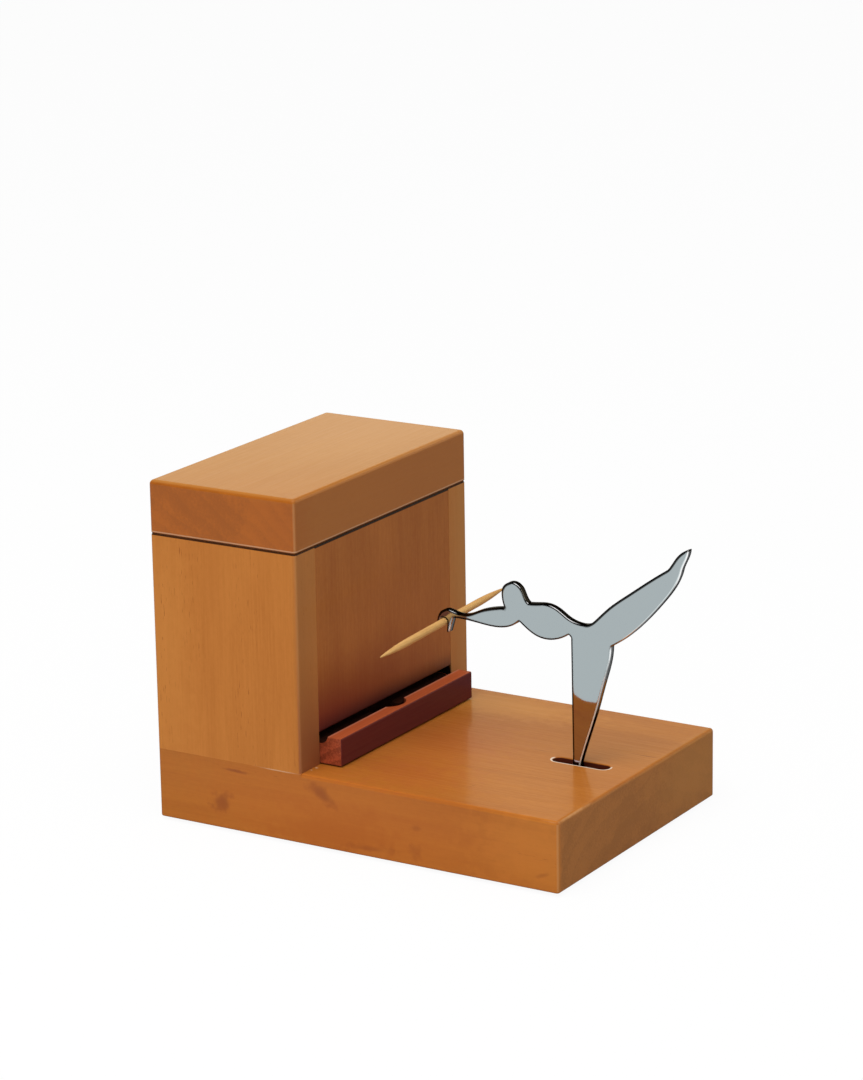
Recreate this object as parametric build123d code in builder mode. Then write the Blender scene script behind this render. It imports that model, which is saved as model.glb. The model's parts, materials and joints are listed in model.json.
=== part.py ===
from build123d import *
import os
from math import cos, radians, sin, sqrt, tan

# Toothpick dispenser. A wooden tower holds the toothpicks and stands on the rear of a base.
# A tray slides out of a slot at the foot of the tower and carries one toothpick in its groove.
# A figure cut from sheet steel stands in a slot of the base and tilts about a pin hidden below.
# As it bows to the tray, a crank on its foot draws the tray out by a rod under the base top.
#
# Millimetres. Origin: centre of the underside, on the surface that the dispenser stands on.
# +X runs from the tower towards the figure, +Y across the base, +Z up.

os.makedirs("parts", exist_ok=True)

# ---------------------------------------------------------------- sizes
# Toothpick
pick_diameter = 2.1
pick_length = 65.0
pick_near_length = 33.6  # from the hand to the end on the -Y side
pick_taper = 15.0  # length of the rounded point at each end
pick_tip_radius = 0.2
pick_tilt = 2.0  # degrees, the -Y end hangs lower
grip_clearance = 0.1  # between the toothpick and the notch of the hand

# Magazine tower
pick_end_room = 4.0  # both ends of a toothpick together
side_panel_thickness = 9.5
front_panel_thickness = 6.0
back_panel_thickness = 6.0
tower_depth = 46.6
tower_height = 60.9
mouth_height = 8.9  # lower edge of the front panel above the base top
panel_seam = 0.15  # broken edge beside a glued joint

# Lid
lid_thickness = 14.9
plug_thickness = 5.0
plug_clearance = 0.3
lid_round = 1.2

# Rounding of the wooden edges
wood_round = 1.0
joint_round = 0.5

# Tray
tray_protrusion = 6.9
tray_tail = 18.0  # behind the tower's front face
tray_side_clearance = 0.3
tray_floor_clearance = 0.3
tray_travel = 4.0
lip_height = 8.1
lip_depth = 4.35
lip_round = 0.4
groove_radius = 2.9
groove_floor = 5.8  # above the base top
shelf_step = 0.5  # the shelf's edge above the groove's floor
shelf_slope = 3.0  # degrees
hand_bore_radius = 5.6
hand_bore_floor = 3.0  # above the base top

# Ramp at the bottom of the magazine
ramp_slope = 35.0  # degrees
ramp_toe_setback = 10.0  # behind the tower's front face
ramp_toe_thickness = 0.8
ramp_clearance = 0.3
stop_felt_thickness = 1.0
stop_felt_height = 5.0

# Base
base_roof = 4.8  # wood left above the hidden pocket
front_margin = 18.3  # from the pivot to the front end
cover_thickness = 1.6
cover_lap = 6.5
cover_clearance = 0.15
cover_corner = 4.0
felt_thickness = 1.0
felt_inset = 4.5
felt_corner = 4.0
pocket_gap = 1.0  # around the bracket plate
pocket_corner = 3.0
channel_width = 16.0
channel_end_room = 5.0

# Figure and its pivot
sheet_thickness = 2.0
pivot_reach = 60.6  # from the tower's front face
pivot_depth = 8.0  # below the base top
bow_angle = 29.5  # degrees
eye_radius = 3.0
crank_end_radius = 2.2
crank_floor_gap = 0.3
leg_slot_length = 17.1
leg_slot_width = 3.8
leg_slot_offset = 0.75
rim_round = 0.4
pin_radius = 1.0
pin_press_clearance = 0.02
pin_running_clearance = 0.04
clip_thickness = 0.5
clip_radius = 2.0
clip_seat_radius = 0.75
clip_mouth = 1.2  # width of the opening that snaps over the pin
clip_gap = 0.05
pin_tip = 0.6
pin_chamfer = 0.2
washer_radius = 2.2
washer_play = 0.05
ear_gap = 5.2
ear_radius = 2.1
bracket_thickness = 1.0
bracket_length = 20.0
bracket_width = 25.0
bracket_window = 12.0
bracket_corner = 2.0
bracket_screw_spacing = 18.0

# Rod, post and spring under the base top
rod_radius = 1.0
rod_offset = 4.0
rod_bend = 2.0
rod_end = 0.6
rod_clearance = 0.06
post_radius = 2.0
post_setback = 9.0
post_press = 4.0
post_end = 1.2
post_play = 0.4
ring_radius = 2.0
ring_thickness = 0.5
ring_clearance = 0.02
ring_gap = 0.1
spring_reach = 21.0  # from the post to the anchor screw
spring_drop = 4.5  # below the roof of the channel
spring_radius = 1.8
spring_wire = 0.25
spring_pitch = 1.1
spring_hook = 1.6
loop_play = 0.15

# Fasteners
dowel_radius = 3.0
dowel_half = 9.0
dowel_margin = 12.3  # from the tower's front and rear faces
glue_gap = 0.05
pilot_clearance = 0.05
cover_screw_radius = 1.25
cover_screw_head = 2.5
cover_screw_length = 9.0
bracket_screw_radius = 1.1
bracket_screw_head = 2.2
bracket_screw_length = 5.0
anchor_screw_radius = 1.2
anchor_screw_head = 2.5
anchor_screw_grip = 4.0
anchor_head_drop = 1.0
lid_screw_radius = 1.5
lid_screw_head = 3.0
lid_screw_length = 13.0
lid_screw_spacing = 40.0
countersink = 90.0  # degrees
crown_share = 0.7  # flat of a domed head, as a share of the head's radius
recess_share = 1.2  # length of the cross recess, as a share of the head's radius
recess_width = 0.6

# Outline of the figure. Points are (X from the pivot, Z from the base top), and each named
# list holds the points between the landmarks on either side of it.
leg_front = (-1.2, 0.0)
leg_rear = (0.9, 0.0)
hip_front = (-1.6, 35.2)
waist = (-2.3, 35.9)
belly = [(-5.3, 34.3), (-8.6, 33.6), (-12.2, 34.1), (-15.2, 35.7)]
armpit = (-17.6, 37.5)
arm_underside = [(-20.7, 35.5), (-25.0, 34.8), (-30.6, 35.2), (-35.7, 35.6)]
arm_top = [(-36.3, 36.8), (-33.0, 37.3), (-30.4, 38.5), (-26.6, 39.8)]
chin = (-22.0, 40.5)
head = [(-22.9, 44.0), (-22.4, 46.6), (-19.8, 48.0), (-17.0, 46.5), (-15.9, 44.2)]
nape = (-14.8, 42.8)
back = [(-12.2, 43.1), (-9.2, 43.3), (-5.8, 42.3), (-2.6, 40.3), (0.6, 39.3)]
raised_thigh = [(3.6, 39.5), (6.2, 41.5), (10.0, 45.2), (15.6, 49.5), (22.0, 54.2)]
heel_top = (27.4, 57.9)
foot_top = [(28.4, 59.2), (29.8, 61.3), (31.6, 63.1)]
toe = (33.4, 63.9)
sole = [(33.0, 62.0), (32.1, 60.0)]
ankle = (31.2, 57.5)
raised_calf = [(29.5, 53.6), (25.8, 48.5), (22.1, 44.2), (18.4, 40.4), (14.7, 37.2)]
crotch = (10.4, 34.3)
standing_leg = [(10.0, 30.5), (8.0, 23.2), (6.1, 16.4), (3.7, 9.0)]

# The hand holds the toothpick in a notch. hand_x and hand_z place the notch's middle, and the
# hand's own points are measured from there.
hand_x = -41.15
hand_z = 34.0
finger_root = (2.85, 1.55)
finger_outer = (1.65, -2.4)
finger_tip = (1.3, -2.8)
finger_inner = (0.95, -2.4)
thumb_inner = (-1.3, 0.15)
thumb_tip = (-1.75, -0.15)
thumb_outer = (-2.1, 0.3)
knuckles = [(-1.65, 1.8), (-0.55, 3.2), (1.05, 3.6), (2.85, 3.2)]
grip_entry = 160.0  # degrees, where the notch opens towards the approaching toothpick

# ---------------------------------------------------------------- places that follow
crank_drop = tray_travel / 2 / tan(radians(bow_angle / 2))
base_thickness = pivot_depth + crank_drop + crank_end_radius + crank_floor_gap + cover_thickness
base_bottom = felt_thickness
base_top = base_bottom + base_thickness
base_length = tower_depth + pivot_reach + front_margin
magazine_width = pick_length + pick_end_room
base_width = magazine_width + 2 * side_panel_thickness
rear_x = -base_length / 2
face_x = rear_x + tower_depth
front_x = base_length / 2
tower_top = base_top + tower_height
lid_top_z = tower_top + lid_thickness
back_inner_x = rear_x + back_panel_thickness
front_inner_x = face_x - front_panel_thickness
panel_y = magazine_width / 2 + side_panel_thickness / 2

pivot_x = face_x + pivot_reach
pivot_z = base_top - pivot_depth
roof_z = base_top - base_roof
cover_top_z = base_bottom + cover_thickness
rod_z = pivot_z - crank_drop
crank_x = pivot_x - tray_travel / 2
post_x = face_x - post_setback
anchor_x = post_x - spring_reach
spring_z = roof_z - spring_drop

tray_width = magazine_width - 2 * tray_side_clearance
tray_bottom = base_top + tray_floor_clearance
tray_front_x = face_x + tray_protrusion
tray_rear_x = face_x - tray_tail
lip_back_x = tray_front_x - lip_depth
lip_z = base_top + lip_height
groove_z = base_top + groove_floor + groove_radius
groove_x = lip_back_x - sqrt(groove_radius**2 - (groove_z - lip_z) ** 2)
shelf_z = base_top + groove_floor + shelf_step
shelf_x = groove_x - sqrt(groove_radius**2 - (groove_z - shelf_z) ** 2)


def shelf_height(x):
    """Height of the tray's shelf, which climbs gently towards the rear."""
    return shelf_z + (shelf_x - x) * tan(radians(shelf_slope))


def from_hand(point):
    """A point of the hand, moved into the frame of the figure's outline."""
    return (hand_x + point[0], hand_z + point[1])


def export(builder, label):
    """Name a finished piece and write it to its own file."""
    builder.part.label = label
    export_step(builder.part, f"parts/{label}.step")


def screw(shank, head_radius, length, head_height, countersunk):
    """One wood screw along -Z, with the underside or the face of its head at the origin."""
    if countersunk:
        top = 0
        head_outline = [(0, 0), (head_radius, 0), (shank, -head_height)]
    else:
        top = head_height
        crown = crown_share * head_radius
        head_outline = [(0, top), (crown, top), (head_radius, top / 2), (head_radius, 0), (shank, 0)]
    with BuildPart() as body:
        with BuildSketch(Plane.XZ):
            with BuildLine():
                Polyline(*head_outline, (shank, shank - length), (0, -length), close=True)
            make_face()
        revolve(axis=Axis.Z)
        with BuildSketch(Plane.XY.offset(top)):
            Rectangle(recess_share * head_radius, recess_width)
            Rectangle(recess_width, recess_share * head_radius)
        extrude(amount=-head_height / 2, mode=Mode.SUBTRACT)
    return body.part


def ring(outer, inner, thickness, y):
    """A flat ring around the line along Y through the origin, with its lower Y face at y."""
    with BuildPart() as body:
        with BuildSketch(Plane(origin=(0, y, 0), x_dir=(1, 0, 0), z_dir=(0, 1, 0))):
            Circle(outer)
            Circle(inner, mode=Mode.SUBTRACT)
        extrude(amount=thickness)
    return body.part


# ---------------------------------------------------------------- base
pocket_length = bracket_length + 2 * pocket_gap
pocket_width = bracket_width + 2 * pocket_gap
pocket_front_x = pivot_x + pocket_length / 2
channel_rear_x = anchor_x - channel_end_room
cover_rear_x = channel_rear_x - cover_lap / 2
cover_front_x = pocket_front_x + cover_lap / 2
cover_length = cover_front_x - cover_rear_x
cover_width = pocket_width + 2 * cover_lap
cover_x = (cover_front_x + cover_rear_x) / 2
cover_screw_spots = GridLocations(
    cover_length - 2 * cover_lap, cover_width - cover_lap, 2, 2
).local_locations
dowel_spots = [(x, j * panel_y) for x in (rear_x + dowel_margin, face_x - dowel_margin) for j in (-1, 1)]
bracket_screw_spots = [(pivot_x, j * bracket_screw_spacing / 2) for j in (-1, 1)]
channel_length = pivot_x - channel_rear_x

with BuildPart() as base_block:
    platform_length = front_x - face_x
    with BuildSketch(Plane.XY.offset(base_bottom)):
        with Locations((face_x + platform_length / 2, 0)):
            Rectangle(platform_length, base_width)
    extrude(amount=base_thickness)
    free_edges = base_block.edges().group_by(Axis.Z)[-1] + base_block.edges().filter_by(Axis.Z)
    fillet([e for e in free_edges if e.center().X > face_x + wood_round], radius=wood_round)
    with BuildSketch(Plane.XY.offset(base_bottom)):
        with Locations((rear_x + tower_depth / 2, 0)):
            Rectangle(tower_depth, base_width)
    extrude(amount=base_thickness)
    rear_edges = base_block.edges().filter_by(Axis.Z).sort_by(Axis.X)[:2]
    fillet(rear_edges, radius=wood_round)
    fillet(base_block.edges().group_by(Axis.Z)[0], radius=joint_round)
    # rebate for the cover, then the channel and the wider pocket around the pivot
    with BuildSketch(Plane.XY.offset(base_bottom)):
        with Locations((cover_x, 0)):
            RectangleRounded(cover_length, cover_width, cover_corner)
    extrude(amount=cover_thickness, mode=Mode.SUBTRACT)
    with BuildSketch(Plane.XY.offset(base_bottom)):
        with Locations((channel_rear_x + channel_length / 2, 0)):
            RectangleRounded(channel_length, channel_width, pocket_corner)
        with Locations((pivot_x, 0)):
            RectangleRounded(pocket_length, pocket_width, pocket_corner)
    extrude(amount=base_thickness - base_roof, mode=Mode.SUBTRACT)
    # slot for the leg, with a softened rim, and slot for the tray's post
    with BuildSketch(Plane.XY.offset(roof_z)):
        with Locations((pivot_x + leg_slot_offset, 0)):
            SlotOverall(leg_slot_length, leg_slot_width)
    extrude(amount=base_roof, mode=Mode.SUBTRACT)
    rim = [
        e
        for e in base_block.edges().group_by(Axis.Z)[-1]
        if abs(e.center().X - pivot_x) < leg_slot_length and abs(e.center().Y) < leg_slot_width
    ]
    fillet(rim, radius=rim_round)
    post_slot_width = 2 * (post_radius + post_play)
    with BuildSketch(Plane.XY.offset(roof_z)):
        with Locations((post_x + tray_travel / 2, 0)):
            SlotOverall(tray_travel + post_slot_width, post_slot_width)
    extrude(amount=base_roof, mode=Mode.SUBTRACT)
    # dowel holes and pilot holes
    with BuildSketch(Plane.XY.offset(base_top)):
        with Locations(*dowel_spots):
            Circle(dowel_radius + glue_gap)
    extrude(amount=-(dowel_half + glue_gap), mode=Mode.SUBTRACT)
    with BuildSketch(Plane.XY.offset(cover_top_z)):
        with Locations((cover_x, 0)):
            with Locations(*cover_screw_spots):
                Circle(cover_screw_radius + pilot_clearance)
    extrude(amount=cover_screw_length - cover_thickness + pilot_clearance, mode=Mode.SUBTRACT)
    with BuildSketch(Plane.XY.offset(roof_z)):
        with Locations(*bracket_screw_spots):
            Circle(bracket_screw_radius + pilot_clearance)
    extrude(
        amount=bracket_screw_length - bracket_thickness + pilot_clearance, mode=Mode.SUBTRACT
    )
    with BuildSketch(Plane.XY.offset(roof_z)):
        with Locations((anchor_x, 0)):
            Circle(anchor_screw_radius + pilot_clearance)
    extrude(amount=anchor_screw_grip + pilot_clearance, mode=Mode.SUBTRACT)
export(base_block, "base_block")

# ---------------------------------------------------------------- tower


def side_panel(side):
    """A full-height side of the tower. side is -1 for the -Y side and 1 for the +Y side."""
    with BuildPart() as panel:
        with BuildSketch(Plane.XY.offset(base_top)):
            with Locations((rear_x + tower_depth / 2, side * panel_y)):
                Rectangle(tower_depth, side_panel_thickness)
        extrude(amount=tower_height)
        outer = panel.edges().filter_by(Axis.Z).group_by(Axis.Y)[0 if side < 0 else -1]
        fillet(outer, radius=wood_round)
        top = panel.faces().sort_by(Axis.Z)[-1].edges()
        inner = top.filter_by(Axis.X).sort_by(Axis.Y)[-1 if side < 0 else 0]
        fillet([e for e in top if not e.is_same(inner)], radius=joint_round)
        with BuildSketch(Plane.XY.offset(base_top)):
            with Locations(*dowel_spots):
                Circle(dowel_radius + glue_gap)
        extrude(amount=dowel_half + glue_gap, mode=Mode.SUBTRACT)
    return panel


near_side_panel = side_panel(-1)
export(near_side_panel, "near_side_panel")
far_side_panel = side_panel(1)
export(far_side_panel, "far_side_panel")

with BuildPart() as front_panel:
    with BuildSketch(Plane.XY.offset(base_top + mouth_height)):
        with Locations((face_x - front_panel_thickness / 2, 0)):
            Rectangle(front_panel_thickness, magazine_width)
    extrude(amount=tower_height - mouth_height)
    seams = front_panel.faces().sort_by(Axis.X)[-1].edges()
    chamfer(seams.filter_by(Axis.Z), length=panel_seam)
    outer_edges = front_panel.faces().sort_by(Axis.X)[-1].edges().filter_by(Axis.Y)
    fillet(outer_edges, radius=joint_round)
export(front_panel, "front_panel")

with BuildPart() as back_panel:
    with BuildSketch(Plane.XY.offset(base_top)):
        with Locations((rear_x + back_panel_thickness / 2, 0)):
            Rectangle(back_panel_thickness, magazine_width)
    extrude(amount=tower_height)
    seams = back_panel.faces().sort_by(Axis.X)[0].edges()
    chamfer(seams.filter_by(Axis.Z), length=panel_seam)
    top_edge = back_panel.faces().sort_by(Axis.X)[0].edges().filter_by(Axis.Y).sort_by(Axis.Z)[-1]
    fillet(top_edge, radius=joint_round)
export(back_panel, "back_panel")

with BuildPart() as tower_dowels:
    with Locations(*[(x, y, base_top) for x, y in dowel_spots]):
        Cylinder(dowel_radius, 2 * dowel_half)
    chamfer(tower_dowels.edges().filter_by(GeomType.CIRCLE), length=joint_round)
export(tower_dowels, "tower_dowels")

# The ramp leads the toothpicks to the shelf. Its thin toe lies over the tail of the tray.
toe_x = face_x - ramp_toe_setback
toe_z = shelf_height(tray_rear_x) + ramp_clearance
toe_top_z = toe_z + ramp_toe_thickness
felt_front_x = tray_rear_x - ramp_clearance
ramp_front_x = felt_front_x - stop_felt_thickness
ramp_top_z = toe_top_z + (toe_x - back_inner_x) * tan(radians(ramp_slope))
with BuildPart() as hopper_ramp:
    with BuildSketch(Plane.XZ):
        with BuildLine():
            Polyline(
                (back_inner_x, base_top),
                (ramp_front_x, base_top),
                (ramp_front_x, toe_z),
                (toe_x, toe_z),
                (toe_x, toe_top_z),
                (back_inner_x, ramp_top_z),
                close=True,
            )
        make_face()
    extrude(amount=magazine_width / 2, both=True)
export(hopper_ramp, "hopper_ramp")

with BuildPart() as tray_stop_felt:
    with BuildSketch(Plane.XY.offset(base_top)):
        with Locations((felt_front_x - stop_felt_thickness / 2, 0)):
            Rectangle(stop_felt_thickness, tray_width)
    extrude(amount=stop_felt_height)
export(tray_stop_felt, "tray_stop_felt")

# ---------------------------------------------------------------- lid
plug_length = front_inner_x - back_inner_x - 2 * plug_clearance
plug_width = magazine_width - 2 * plug_clearance
plug_x = (front_inner_x + back_inner_x) / 2
plug_bottom = tower_top - plug_thickness
lid_screw_spots = [(plug_x, j * lid_screw_spacing / 2) for j in (-1, 1)]
lid_head_height = lid_screw_head - lid_screw_radius
lid_screw = screw(lid_screw_radius, lid_screw_head, lid_screw_length, lid_head_height, True)

with BuildPart() as lid_top:
    with BuildSketch(Plane.XY.offset(tower_top)):
        with Locations((rear_x + tower_depth / 2, 0)):
            Rectangle(tower_depth, base_width)
    extrude(amount=lid_thickness)
    fillet(lid_top.edges().filter_by(Axis.Z), radius=wood_round)
    fillet(lid_top.edges().group_by(Axis.Z)[-1], radius=lid_round)
    fillet(lid_top.edges().group_by(Axis.Z)[0], radius=joint_round)
    with BuildSketch(Plane.XY.offset(tower_top)):
        with Locations(*lid_screw_spots):
            Circle(lid_screw_radius + pilot_clearance)
    extrude(amount=lid_screw_length - plug_thickness + pilot_clearance, mode=Mode.SUBTRACT)
export(lid_top, "lid_top")

with BuildPart() as lid_plug:
    with BuildSketch(Plane.XY.offset(plug_bottom)):
        with Locations((plug_x, 0)):
            Rectangle(plug_length, plug_width)
    extrude(amount=plug_thickness)
    fillet(lid_plug.edges().filter_by(Axis.Z), radius=wood_round)
    chamfer(lid_plug.edges().group_by(Axis.Z)[0], length=joint_round)
    with Locations(*[Plane((x, y, plug_bottom), z_dir=(0, 0, -1)) for x, y in lid_screw_spots]):
        CounterSinkHole(
            radius=lid_screw_radius + pilot_clearance,
            counter_sink_radius=lid_screw_head + pilot_clearance,
            depth=plug_thickness,
            counter_sink_angle=countersink,
        )
export(lid_plug, "lid_plug")

with BuildPart() as lid_screws:
    with Locations(*[Plane((x, y, plug_bottom), z_dir=(0, 0, -1)) for x, y in lid_screw_spots]):
        add(lid_screw)
export(lid_screws, "lid_screws")

# ---------------------------------------------------------------- tray and its drive
with BuildPart() as toothpick_tray:
    with BuildSketch(Plane.XZ):
        with BuildLine():
            Polyline(
                (shelf_x, shelf_z),
                (tray_rear_x, shelf_height(tray_rear_x)),
                (tray_rear_x, tray_bottom),
                (tray_front_x, tray_bottom),
                (tray_front_x, lip_z),
                (lip_back_x, lip_z),
            )
            ThreePointArc((lip_back_x, lip_z), (groove_x, groove_z - groove_radius), (shelf_x, shelf_z))
        make_face()
    extrude(amount=tray_width / 2, both=True)
    lip_edges = toothpick_tray.edges().filter_by(Axis.Y).group_by(Axis.X)[-1]
    fillet(lip_edges, radius=lip_round)
    # the hand dips into a round bore centred on the groove
    with BuildSketch(Plane.XY.offset(base_top + hand_bore_floor)):
        with Locations((groove_x, 0)):
            Circle(hand_bore_radius)
    extrude(amount=lip_height + groove_radius, mode=Mode.SUBTRACT)
    with BuildSketch(Plane.XY.offset(tray_bottom)):
        with Locations((post_x, 0)):
            Circle(post_radius + ring_clearance)
    extrude(amount=post_press, mode=Mode.SUBTRACT)
export(toothpick_tray, "toothpick_tray")

post_bottom = rod_z - rod_radius - post_end
with BuildPart() as tray_drive_post:
    with BuildSketch(Plane.XY.offset(post_bottom)):
        with Locations((post_x, 0)):
            Circle(post_radius)
    extrude(amount=tray_bottom + post_press - post_bottom)
    chamfer(tray_drive_post.edges().group_by(Axis.Z)[0], length=joint_round)
    with BuildSketch(Plane.XZ.offset(-2 * post_radius)):
        with Locations((post_x, rod_z)):
            Circle(rod_radius + rod_clearance)
    extrude(amount=4 * post_radius, mode=Mode.SUBTRACT)
export(tray_drive_post, "tray_drive_post")

crank_ring_y = -(sheet_thickness / 2 + ring_gap + ring_thickness)
post_ring_y = -(post_radius + ring_gap + ring_thickness)
with BuildPart() as pull_rod:
    with BuildLine() as rod_path:
        FilletPolyline(
            (crank_x, crank_ring_y - rod_end, rod_z),
            (crank_x, rod_offset, rod_z),
            (post_x, rod_offset, rod_z),
            (post_x, post_ring_y - rod_end, rod_z),
            radius=rod_bend,
        )
    with BuildSketch(Plane(origin=rod_path.line @ 0, z_dir=rod_path.line % 0)):
        Circle(rod_radius)
    sweep()
export(pull_rod, "pull_rod")

with BuildPart() as rod_rings:
    with Locations((crank_x, 0, rod_z)):
        add(ring(ring_radius, rod_radius + ring_clearance, ring_thickness, crank_ring_y))
    with Locations((post_x, 0, rod_z)):
        add(ring(ring_radius, rod_radius + ring_clearance, ring_thickness, post_ring_y))
export(rod_rings, "rod_rings")

# ---------------------------------------------------------------- return spring and its anchor
anchor_head_z = spring_z - spring_wire - anchor_head_drop
with BuildPart() as spring_anchor_screw:
    with Locations(Plane((anchor_x, 0, anchor_head_z), z_dir=(0, 0, -1))):
        add(
            screw(
                anchor_screw_radius,
                anchor_screw_head,
                roof_z - anchor_head_z + anchor_screw_grip,
                anchor_screw_radius,
                False,
            )
        )
export(spring_anchor_screw, "spring_anchor_screw")

post_loop = post_radius + loop_play + spring_wire
anchor_loop = anchor_screw_radius + loop_play + spring_wire
coil_rear_x = anchor_x + anchor_loop + spring_hook
coil_front_x = post_x - post_loop - spring_hook
with BuildPart() as return_spring:
    with BuildLine() as coil_path:
        Helix(
            spring_pitch,
            coil_front_x - coil_rear_x,
            spring_radius,
            center=(coil_rear_x, 0, spring_z),
            direction=(1, 0, 0),
        )
    with BuildSketch(Plane(origin=coil_path.line @ 0, z_dir=coil_path.line % 0)):
        Circle(spring_wire)
    sweep(is_frenet=True)
    for coil_end, loop_x, loop_radius in (
        (coil_path.line @ 0, anchor_x, anchor_loop),
        (coil_path.line @ 1, post_x, post_loop),
    ):
        inward = 1 if loop_x < coil_end.X else -1
        hook_x = loop_x + inward * loop_radius
        with BuildLine() as hook_path:
            Polyline(coil_end, (coil_end.X, 0, spring_z), (hook_x, 0, spring_z))
        with BuildSketch(Plane(origin=coil_end, z_dir=hook_path.line % 0)):
            Circle(spring_wire)
        sweep(path=hook_path.line, transition=Transition.ROUND)
        with Locations((loop_x, 0, spring_z)):
            Torus(loop_radius, spring_wire)
export(return_spring, "return_spring")

# ---------------------------------------------------------------- pivot
ear_y = ear_gap / 2
with BuildPart() as pivot_bracket:
    with BuildSketch(Plane.XY.offset(roof_z - bracket_thickness)):
        with Locations((pivot_x, 0)):
            RectangleRounded(bracket_length, bracket_width, bracket_corner)
            Rectangle(bracket_window, ear_gap, mode=Mode.SUBTRACT)
        with Locations(*bracket_screw_spots):
            Circle(bracket_screw_radius + pilot_clearance, mode=Mode.SUBTRACT)
    extrude(amount=bracket_thickness)
    for ear_start in (-ear_y - bracket_thickness, ear_y):
        ear_center = (pivot_x, ear_start, pivot_z)
        with BuildSketch(Plane(origin=ear_center, x_dir=(-1, 0, 0), z_dir=(0, 1, 0))):
            Circle(ear_radius)
            with Locations((0, (roof_z - bracket_thickness - pivot_z) / 2)):
                Rectangle(2 * ear_radius, roof_z - bracket_thickness - pivot_z)
            Circle(pin_radius + pin_press_clearance, mode=Mode.SUBTRACT)
        extrude(amount=bracket_thickness)
export(pivot_bracket, "pivot_bracket")

with BuildPart() as bracket_screws:
    bracket_screw = screw(
        bracket_screw_radius,
        bracket_screw_head,
        bracket_screw_length,
        bracket_screw_radius,
        False,
    )
    plate_z = roof_z - bracket_thickness
    with Locations(*[Plane((x, y, plate_z), z_dir=(0, 0, -1)) for x, y in bracket_screw_spots]):
        add(bracket_screw)
export(bracket_screws, "bracket_screws")

clip_y = ear_y + bracket_thickness + clip_gap
pin_half = clip_y + clip_thickness + clip_gap + pin_tip
with BuildPart() as pivot_pin:
    pin_end = (pivot_x, -pin_half, pivot_z)
    with BuildSketch(Plane(origin=pin_end, x_dir=(1, 0, 0), z_dir=(0, 1, 0))):
        Circle(pin_radius)
    extrude(amount=2 * pin_half)
    chamfer(pivot_pin.edges().filter_by(GeomType.CIRCLE), length=pin_chamfer)
    for groove_start in (-clip_y - clip_thickness - clip_gap, clip_y - clip_gap):
        with Locations((pivot_x, 0, pivot_z)):
            add(
                ring(2 * pin_radius, clip_seat_radius, clip_thickness + 2 * clip_gap, groove_start),
                mode=Mode.SUBTRACT,
            )
export(pivot_pin, "pivot_pin")

with BuildPart() as pivot_clips:
    for clip_start in (-clip_y - clip_thickness, clip_y):
        clip_center = (pivot_x, clip_start, pivot_z)
        with BuildSketch(Plane(origin=clip_center, x_dir=(-1, 0, 0), z_dir=(0, 1, 0))):
            Circle(clip_radius)
            Circle(clip_seat_radius + ring_clearance, mode=Mode.SUBTRACT)
            with Locations((0, -clip_radius)):
                Rectangle(clip_mouth, 2 * clip_radius, mode=Mode.SUBTRACT)
        extrude(amount=clip_thickness)
export(pivot_clips, "pivot_clips")

washer_thickness = ear_y - sheet_thickness / 2 - 2 * washer_play
with BuildPart() as pivot_washers:
    with Locations((pivot_x, 0, pivot_z)):
        for washer_y in (-ear_y + washer_play, sheet_thickness / 2 + washer_play):
            add(ring(washer_radius, pin_radius + pin_running_clearance, washer_thickness, washer_y))
export(pivot_washers, "pivot_washers")

# ---------------------------------------------------------------- figure
hand_center = (hand_x, hand_z)
grip_radius = pick_diameter / 2 + grip_clearance
grip_start = (hand_x + grip_radius, hand_z)
crank_angle = bow_angle / 2
crank_length = crank_drop / cos(radians(crank_angle))
crank_end = (-tray_travel / 2, -pivot_depth - crank_drop)

figure_plane = Plane(
    origin=(pivot_x, sheet_thickness / 2, base_top), x_dir=(1, 0, 0), z_dir=(0, -1, 0)
)
with BuildPart() as dancer_figure:
    with BuildSketch(figure_plane):
        with BuildLine():
            Line(leg_front, hip_front)
            Line(hip_front, waist)
            Spline(waist, *belly, armpit)
            Spline(armpit, *arm_underside, from_hand(finger_root))
            Line(from_hand(finger_root), from_hand(finger_outer))
            ThreePointArc(from_hand(finger_outer), from_hand(finger_tip), from_hand(finger_inner))
            Line(from_hand(finger_inner), grip_start)
            grip = CenterArc(hand_center, grip_radius, 0, grip_entry)
            Line(grip @ 1, from_hand(thumb_inner))
            ThreePointArc(from_hand(thumb_inner), from_hand(thumb_tip), from_hand(thumb_outer))
            Spline(from_hand(thumb_outer), *[from_hand(p) for p in knuckles], *arm_top, chin)
            Spline(chin, *head, nape)
            Spline(nape, *back, *raised_thigh, heel_top)
            Spline(heel_top, *foot_top, toe)
            Spline(toe, *sole, ankle)
            Spline(ankle, *raised_calf, crotch)
            Spline(crotch, *standing_leg, leg_rear)
            Line(leg_rear, leg_front)
        make_face()
    extrude(amount=sheet_thickness)
    # foot below the base top: neck, eye around the pivot pin and crank
    with BuildSketch(figure_plane):
        Polygon(
            leg_front,
            leg_rear,
            (eye_radius, -pivot_depth),
            (crank_end[0] + crank_end_radius, crank_end[1]),
            (crank_end[0] - crank_end_radius, crank_end[1]),
            (-eye_radius, -pivot_depth),
            align=None,
        )
        with Locations((0, -pivot_depth)):
            Circle(eye_radius)
        with Locations(crank_end):
            Circle(crank_end_radius)
        with Locations((0, -pivot_depth)):
            Circle(pin_radius + pin_running_clearance, mode=Mode.SUBTRACT)
        slot_center = (crank_length + crank_drop) / 2
        with Locations(
            Location(
                (
                    -slot_center * sin(radians(crank_angle)),
                    -pivot_depth - slot_center * cos(radians(crank_angle)),
                ),
                90 - crank_angle,
            )
        ):
            SlotCenterToCenter(
                crank_length - crank_drop,
                2 * (rod_radius + rod_clearance),
                mode=Mode.SUBTRACT,
            )
    extrude(amount=sheet_thickness)
export(dancer_figure, "dancer_figure")

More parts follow.
